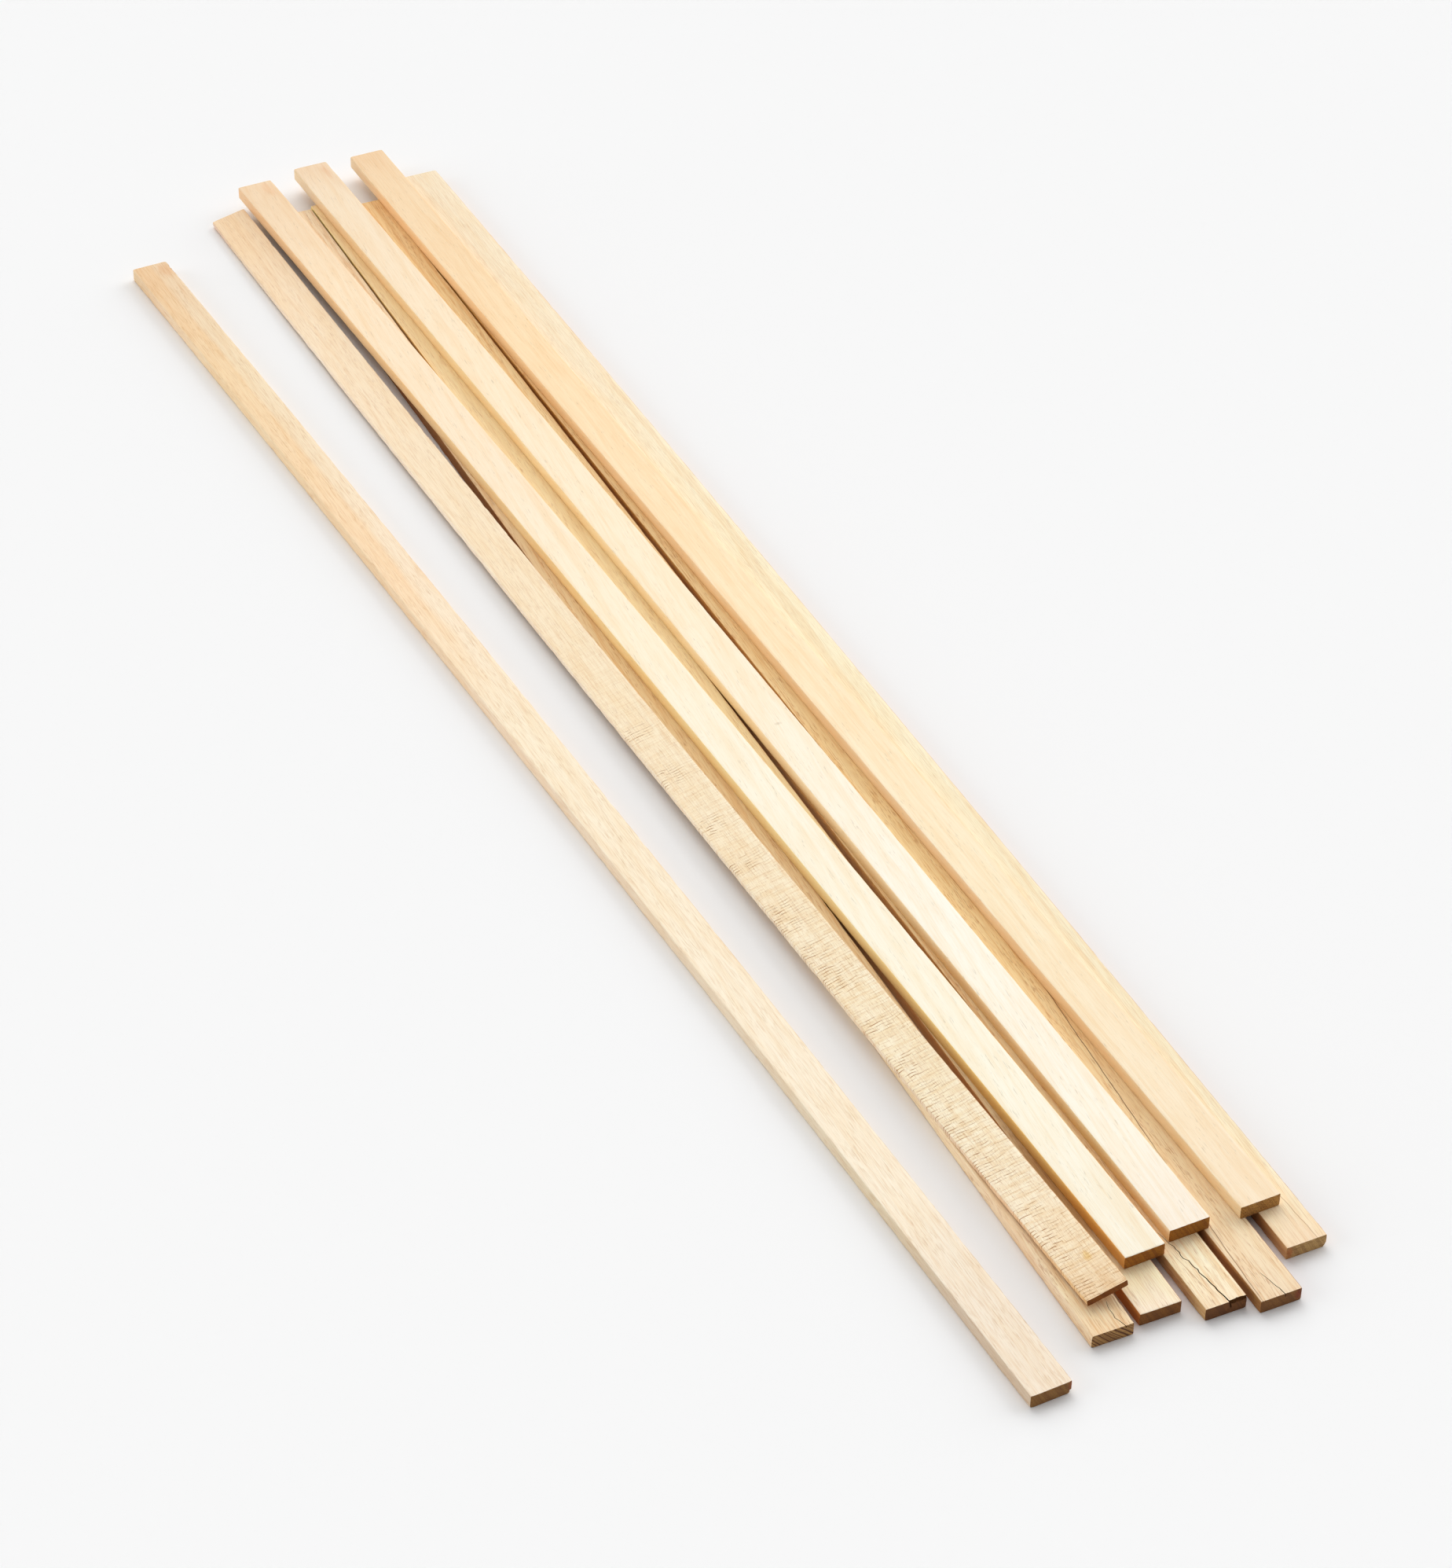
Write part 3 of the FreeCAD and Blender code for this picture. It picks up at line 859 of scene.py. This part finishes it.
def left_half(tint, show, begin):
    """The left half is another tone, beyond a distance from the near end."""
    def paint(tree, place, colour, seed):
        along, across, _ = add(tree, "SeparateXYZ", {0: place}).outputs
        wave = figure(tree, place, HALF_WAVE, seed)
        strayed = {0: wave, 1: HALF_STRAY, 2: across}
        edge = add(tree, "Math", strayed, operation="MULTIPLY_ADD").outputs[0]
        beyond = {"Value": along, "From Min": begin, "From Max": begin + HALF_FADE, "To Max": show}
        amount = add(tree, "MapRange", beyond).outputs["Result"]
        return stain_and_shade(tree, colour, tint, edge, low=10.0, high=13.5, show=amount)
    return paint


print("a mineral line 0.3 mm wide is fully dark over, mm:", round(LINE_CORE * 0.3, 2))

# %% [markdown]
# ## Saw scratches
#
# The dull saw left fine brown lines across the thin strip, darkest where it snatched, over a
# fuzz of torn fibres. A sine wave along the strip spaces the lines as even strokes do, and a
# noise breaks them up. They get weaker towards the far end.

# %% Scratches of the dull saw
LINE_GAP = 1.7  # between the fine lines that the saw's teeth left
GAP_STRAY = 2.6  # how far the lines stray from even spacing
CLEAR_TO = 200.0  # the lines are clear up to here
GONE_FROM = 560.0  # and gone from here on
SAW_BANDS = Pattern(2.0, 14.0, 30.0, shift=101)
SAW_STRAY = Pattern(20.0, 9.0, 30.0, shift=131)
SAW_BREAKS = Pattern(1.9, 5.0, 30.0, shift=81)
SAW_DASH = Pattern(2.6, 0.4, 9.0, shift=141)
SAW_DOT = Pattern(0.45, 0.8, 9.0, shift=91)


def saw_scratches(tree, place, colour, seed):
    """Broad pale bands, fine brown lines across, dashes of torn fibre and dark dots."""
    snatch = add(tree, "Attribute", attribute_name=SAW_PLACE).outputs["Fac"]
    along = add(tree, "SeparateXYZ", {0: place}).outputs["X"]
    fading = {"Value": along, "From Min": GONE_FROM, "From Max": CLEAR_TO, "To Max": 0.5}
    less = add(tree, "MapRange", fading).outputs["Result"]
    bands = figure(tree, place, SAW_BANDS, seed)
    colour = stain_and_shade(tree, colour, "F2E2C8", bands, low=0.42, high=0.66, show=less)

    waver = figure(tree, place, SAW_STRAY, seed)
    moved = add(tree, "Math", {0: waver, 1: GAP_STRAY, 2: along}, operation="MULTIPLY_ADD").outputs[0]
    turned = add(tree, "Math", {0: moved, 1: math.tau / LINE_GAP}, operation="MULTIPLY").outputs[0]
    stroke = add(tree, "Math", {0: turned}, operation="SINE").outputs[0]
    broken = figure(tree, place, SAW_BREAKS, seed)
    for tint, strength in (("D6B68A", less), ("B48E5E", snatch)):
        there = {"Value": broken, "From Min": 0.42, "From Max": 0.62, "To Max": strength}
        shown = add(tree, "MapRange", there).outputs["Result"]
        colour = stain_and_shade(tree, colour, tint, stroke, low=0.55, high=0.95, show=shown)
    dash = figure(tree, place, SAW_DASH, seed)
    colour = stain_and_shade(tree, colour, "C49E6C", dash, low=0.58, high=0.72, show=less)
    dot = figure(tree, place, SAW_DOT, seed)
    return stain_and_shade(tree, colour, "9A7446", dot, low=0.65, high=0.75, show=snatch)


print("saw lines up to where they fade:", round(CLEAR_TO / LINE_GAP))

# %% [markdown]
# ## Planed and sawn
#
# The upper strips were planed: creamy, with faint grey pore dashes. The others are as the saw
# left them: fuzzier, with clearer rings and brown pores. A strip changes only what is its own.

# %% What planed and sawn strips share
PLANED = dict(
    finish="planed",
    grain_angle=1.5,
    ring_tilt=20.0, ring_gap=5.0, ring_wander=9.0, ring_tint="F8E8CC", ring_show=0.3,
    cloud_tint="FAEDD8", cloud_show=0.35,
    fibre_tint="F2DFC2", fibre_show=0.25,
    pore_tint="B9B3A8", pore_show=0.4, pore_low=0.63,
    # The colour inside cracks and chips, and the tint of the right side and the underside, are painted
    # shade.
    bump=0.25, rough=0.55, torn="6E4420", rough_side_tint="FCF2E4",
    # the near end's darker colour is painted shade over the end grain's own brown
    near_end="905C26", far_end="D9B788",
    end_ring_tilt=-30.0, end_ring_gap=2.6, end_ring_show=0.35, end_ring_tint="9C7448",
    speck_show=0.5,
    extras=(), end_extras=(),
)
SAWN = dict(
    PLANED,
    finish="sawn",
    # a browner painted shade on the right side and the underside
    rough_side_tint="D2A470",
    ring_gap=3.4, ring_tint="F0D6B4", ring_show=0.4,
    fibre_tint="DDBA92", fibre_show=0.5,
    pore_tint="BE8E62", pore_show=0.5, pore_low=0.55,
    bump=0.9, rough=0.7,
)
print("sawn differs from planed in", [key for key in PLANED if SAWN[key] != PLANED[key]])

# %% [markdown]
# ## The lower strips
#
# A tone is a distance from the near end and the colour there. The tones hold painted light and shade as
# well as the wood's own colour. These strips are the most golden ones, and their left sides are
# browner, with painted shade where the strips beside them shade them.

# %% Tones and strengths of the lower strips
# Each side tone holds painted light and shade along with the side's own colour.
LOOKS = {
    "bottom_strip_1": dict(
        SAWN,
        tones="0 F3D6AC, 20 FFECC4, 60 FFECCA, 220 FBE2B4, 457 FADEA8, 700 F4DEB9",
        side_tones="0 F6E0BC, 60 FAE2C0, 120 FFECC8, 320 FFEEC6, 520 B07838, 914 8A5626",
        ring_gap=2.4, ring_tilt=40.0, ring_show=0.5, near_end="C09256",
        end_ring_gap=0.95, end_ring_tilt=-45.0, end_ring_show=1.0, end_ring_tint="7A522C",
    ),
    "bottom_strip_2": dict(
        SAWN,
        tones="0 FDEDD4, 20 FFF1CA, 100 F8E5BA, 300 FFECBC, 800 FFE9B6, 914 F7DAA4",
        side_tones="0 B06A20, 20 D68E46, 60 E2B070, 600 EABC7E, 800 FCDC8E, 914 FFEA94",
        ring_show=0.15, cloud_show=0.3, fibre_show=0.35, pore_show=0.3,
        near_end="8B581F",
        # painted shade on the left part of the top near the near end, where the thin strip shades it
        extras=(stain_and_shade_spot((76, 15.5, 6.4), (72, 9, 3), "C4A070", 0.9),),
    ),
    "bottom_strip_3": dict(
        SAWN,
        tones="0 FCE9C8, 20 FFF3D2, 60 FAE6BC, 800 F5D79E, 914 F6D092",
        side_tones="0 CAA46E, 30 DCB67C, 120 D2AC78, 457 F2CB8C, 914 EEBE7E",
        ring_gap=2.8, ring_show=0.6, near_end="764716",
        extras=(mineral_line((6, 12.4), (34, 15.4), 0.22, "A87C4C", 0.5),),
    ),
    "bottom_strip_4": dict(
        SAWN,
        tones="0 F3DCBA, 60 FCE6BE, 220 FFE4AA, 457 FDE2AA, 600 F5D9A3, 914 EEC586",
        side_tones="0 9E6E34, 20 CC9050, 60 C69964, 457 DCB474, 700 CC9440, 800 F0C068, 914 E6B258",
        near_end="8B5D2A",
        extras=(
            mineral_line((88, 13.4), (215, 5), 0.32, "7A5228", 0.9),
            mineral_line((2, 18.2), (62, 14.8), 0.3, "8A5C2E", 0.8),
        ),
        end_extras=(stain_and_shade_spot((0, 1.5, 3.6), (9, 2.6, 4), "F09078", 0.8),),
    ),
    "bottom_strip_5": dict(
        SAWN,
        tones="0 F7DEBC, 20 FDEAC6, 60 FAEFD0, 457 FDF2D0, 700 FCEDCE, 880 F8E7C8",
        side_tones="0 E0B67E, 20 A8723A, 60 D0A872, 320 E1B57F, 914 EBC48A",
        ring_show=0.3, fibre_show=0.3, pore_show=0.15, near_end="C8A064",
        # a lighter painted shade on the right side and the underside
        rough_side_tint="F2DEC4",
        extras=(mineral_line((-2, 4.6), (48, 6.4), 0.3, "B08858", 0.6, waver=1.6),),
        end_extras=(stain_and_shade_spot((0, 17.6, 3.2), (9, 2.2, 5), "F0A890", 0.7),),
    ),
}
print(len(LOOKS), "lower strips")

# %% [markdown]
# ## The upper strips, the thin one and the lone one
#
# The first two upper strips are creamy, and the third is a little more golden. The thin strip has its
# saw scratches. The lone strip is a little rosy, and its left half turns yellower. Their tones and side
# tones hold painted light and shade too.

# %% Tones and strengths of the others
# Each side tone holds painted light and shade along with the side's own colour.
LOOKS.update({
    "top_strip_1": dict(
        PLANED,
        tones="0 F8F1DE, 120 FAF3DE, 320 FAF1DB, 457 FBECCF, 600 F9E5C7, 800 F6DEBB, 900 EBCDA6",
        side_tones="0 F0B665, 30 FCC266, 60 FFD888, 120 FFDA8A, 220 FFE9AC, 457 FFE4A8, 700 FFDAA4, "
        "880 F2CA9B",
        grain_angle=5.0, near_end="B0701C",
        extras=(stain_and_shade_spot((906, 5, 6), (11, 5, 4), "F8D2A6", 0.35),),
    ),
    "top_strip_2": dict(
        PLANED,
        tones="0 F8ECDA, 60 FBF2DF, 220 FCF5E5, 457 FCEBCD, 700 F9E3C1, 880 F0DABA, 910 EACEAB",
        side_tones="0 F4E2B8, 60 EBD5A6, 120 FAE2B8, 320 FFF0D0, 700 FFEBBC, 880 FCE4BC, 914 EED6B0",
        grain_angle=5.0, near_end="AC701D",
        extras=(
            stain_and_shade_spot((362, 9.5, 6.3), (1.6, 2.8, 1), "D2CDC0", 0.5),
            stain_and_shade_spot((904, 4, 6), (12, 2.6, 4), "F6DCC2", 0.5),
        ),
    ),
    "top_strip_3": dict(
        PLANED,
        tones="0 F7E3C4, 220 F9E8C6, 457 FDE4BC, 700 F8DAAC, 880 EFD1A6, 910 EBC89B",
        side_tones="0 F8E2BC, 60 F1D7AE, 220 F8DEBA, 457 FFE3B9, 880 FFE0B4, 914 EED4AE",
        ring_tint="F6E2BE", ring_show=0.35, near_end="C29049", speck_show=1.0,
    ),
    "leaning_strip": dict(
        SAWN,
        tones="0 F0D3AA, 20 FDEAC8, 60 FFF1D5, 120 FFF3D6, 457 FFEDCC, 800 FEE7C6, 880 FADEB8, "
        "910 F8DBB4",
        side_tones="0 F6D6A4, 60 F6D6B0, 120 F8E6CC, 220 FFF6E0, 600 FFF0DA, 800 FFEED8, 880 F0D8BA, "
        "914 E9CCB6",
        ring_show=0.15, fibre_show=0.3, pore_show=0.2, near_end="8F5006",
        # a lighter painted shade on the right side and the underside
        rough_side_tint="F0DCC0",
        extras=(saw_scratches, stain_and_shade_spot((20.5, 6.5, 3), (4.4, 2.6, 3), "F2DC8C", 0.6)),
    ),
    "lone_strip": dict(
        SAWN,
        tones="0 F6E7D2, 60 F6E8D3, 120 FCEFD8, 457 FCEDD1, 600 FBE6C9, 800 F4DFBC, 900 EDD2AE",
        side_tones="0 D2BCA2, 60 D7C3AA, 120 E4D3B4, 220 EDDDC3, 457 F8E1C4, 700 F8E6C8, 800 FCEED2, "
        "880 F7E4CC, 914 ECD8B8",
        ring_show=0.25, ring_tint="F2DEC2", fibre_show=0.35, near_end="9A6D36",
        # a lighter painted shade on the right side and the underside
        pore_tint="DCC4A4", pore_show=0.4, rough_side_tint="F2DEC4",
        extras=(
            left_half("FFE8C4", 0.45, 480),
            stain_and_shade_spot((906, 4, 6), (11, 6, 4), "F4CCA0", 0.45),
        ),
        end_extras=(stain_and_shade_spot((0, 0.8, 4), (9, 2, 4), "E89884", 0.7),),
    ),
})
print(len(LOOKS), "strips have a look")

# %% [markdown]
# ## Put the finishes on
#
# Every strip gets three finishes of its own, one for each slot of its mesh. All could share one
# material, but then no two strips could differ. The seed moves all patterns of a strip.

# %% Fill the material slots
for seed, (name, look) in enumerate(LOOKS.items(), start=1):
    slots = strips[name].data.materials
    for slot, finish in enumerate((long_grain, end_grain, torn_wood)):
        slots[slot] = finish(bars[name], look, 13.0 * seed)
print(len(bpy.data.materials), "finishes")

# %% [markdown]
# ## Table and lamps
#
# The strips lie on a seamless white sheet. One large soft lamp stands behind them, a little to
# the right, and lights the tops. A second one, low at the right, throws soft shadows to the left,
# and a weak third one skims the left sides. Each is a sun whose angle is the width of its
# softbox, so that every strip gets the same light.

# %% Floor and lamps
Lamp = namedtuple("Lamp", "name level height turn spread")

LAMPS = (  # share of the light, degrees above the table, degrees from far to left, and width
    Lamp("back_softbox", 0.29, 40, -12, 54),
    Lamp("side_softbox", 0.2, 24, -75, 50),
    Lamp("skimming_softbox", 0.09, 15, 72, 40),
)
TABLE_SIDE = 30.0  # metres
PAPER_WHITE = "F8F8F8"

floor_bm = bmesh.new()
bmesh.ops.create_grid(floor_bm, x_segments=1, y_segments=1, size=TABLE_SIDE / 2)
floor = link(to_mesh(floor_bm, "table"), "table")
paper = bpy.data.materials.new("matt_white_paper")
paper.use_nodes = True
matt = {"Base Color": linear(PAPER_WHITE), "Roughness": 1.0, "Specular IOR Level": 0.0}
plug(paper.node_tree, paper.node_tree.nodes["Principled BSDF"], matt)
floor.data.materials.append(paper)
floor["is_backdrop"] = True

for plan in LAMPS:
    height, turned = math.radians(plan.height), math.radians(plan.turn)
    light = bpy.data.lights.new(plan.name, "SUN")
    light.energy = plan.level * math.pi / math.sin(height)
    light.angle = math.radians(plan.spread)
    softbox = bpy.data.objects.new(plan.name, light)
    bpy.context.scene.collection.objects.link(softbox)
    aim = Matrix.Rotation(turned, 3, "Z") @ Vector((math.cos(height), 0, math.sin(height)))
    softbox.rotation_euler = aim.to_track_quat("Z", "Y").to_euler()
    print(plan.name, "energy", round(light.energy, 2))

# %% [markdown]
# ## Room
#
# A plain room fills the shadows. It is brightest overhead and behind, so the near ends and the
# gaps stay dark. The lamps and the room together light a flat surface at 1, at which a colour
# looks as it is written. The camera sees the room as paper white, so the sheet has no horizon.

# %% Light from the room
ROOM_LEVEL = 0.42  # the room's share of the light on a flat surface
ROOM_SLOPE = Vector((0.6, 0.0, 0.8))  # the way in which the room gets brighter

room = bpy.data.worlds.new("room")
bpy.context.scene.world = room
room.use_nodes = True
sky = room.node_tree
ray = add(sky, "LightPath").outputs
seen = add(sky, "Math", {0: ray["Is Camera Ray"], 1: ray["Is Glossy Ray"]}, operation="MAXIMUM")
seen = add(sky, "Math", {0: seen.outputs[0], 1: ray["Is Transmission Ray"]}, operation="MAXIMUM")
ways = add(sky, "TexCoord").outputs["Generated"]
slope = add(sky, "VectorMath", {0: ways, 1: ROOM_SLOPE}, operation="DOT_PRODUCT").outputs["Value"]
even = ROOM_LEVEL / (1.0 + ROOM_SLOPE.z * 2 / 3)  # a flat surface sees two thirds of the slope
bright = add(sky, "Math", {0: slope, 1: even, 2: even}, operation="MULTIPLY_ADD").outputs[0]
switch = {"Value": seen.outputs[0], "To Min": bright, "To Max": linear(PAPER_WHITE)[0]}
level = add(sky, "MapRange", switch)
white = (1.0, 1.0, 1.0, 1.0)
plug(sky, sky.nodes["Background"], {"Color": white, "Strength": level.outputs["Result"]})
print("room level", ROOM_LEVEL)

# %% [markdown]
# ## Camera
#
# A long lens far away keeps the strips nearly parallel. It stands at the near left, looks down
# over them at about 39 degrees, and is rolled by one degree, as a hand-levelled tripod is.

# %% Camera
CAMERA_PLACE = Vector((-1.4695, 0.6747, 1.2348))
CAMERA_HEADING = math.radians(-26.16)  # of the view seen from above, from x towards y
CAMERA_PITCH = math.radians(38.69)  # below the horizon
CAMERA_ROLL = math.radians(1.07)
CAMERA_LENS = 99.65  # millimetres, on a full-frame sensor
CAMERA_SENSOR = 36.0

camera = bpy.data.objects.new("camera", bpy.data.cameras.new("camera"))
bpy.context.scene.collection.objects.link(camera)
camera.data.lens = CAMERA_LENS
camera.data.sensor_width = CAMERA_SENSOR
turn = Matrix.Rotation(CAMERA_HEADING - math.pi / 2, 4, "Z")
tip = Matrix.Rotation(math.pi / 2 - CAMERA_PITCH, 4, "X")
roll = Matrix.Rotation(CAMERA_ROLL, 4, "Z")
camera.matrix_world = Matrix.Translation(CAMERA_PLACE) @ turn @ tip @ roll
bpy.context.scene.camera = camera
bpy.context.scene.view_settings.view_transform = "Standard"
print("the camera stands", round(CAMERA_PLACE.length, 2), "m from the middle of the pile")

# %% [markdown]
# ## Finish
#
# How far the shown model has grown past the frame's box, in millimetres, is printed.
# The model may not grow past the frame.

# %% Print how far the model has grown
shown_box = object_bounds()
grown = [(shown - cad) / MM for shown, cad in zip(shown_box[1] - shown_box[0], cad_box[1] - cad_box[0])]
print("grown by, mm:", [round(side, 2) for side in grown])
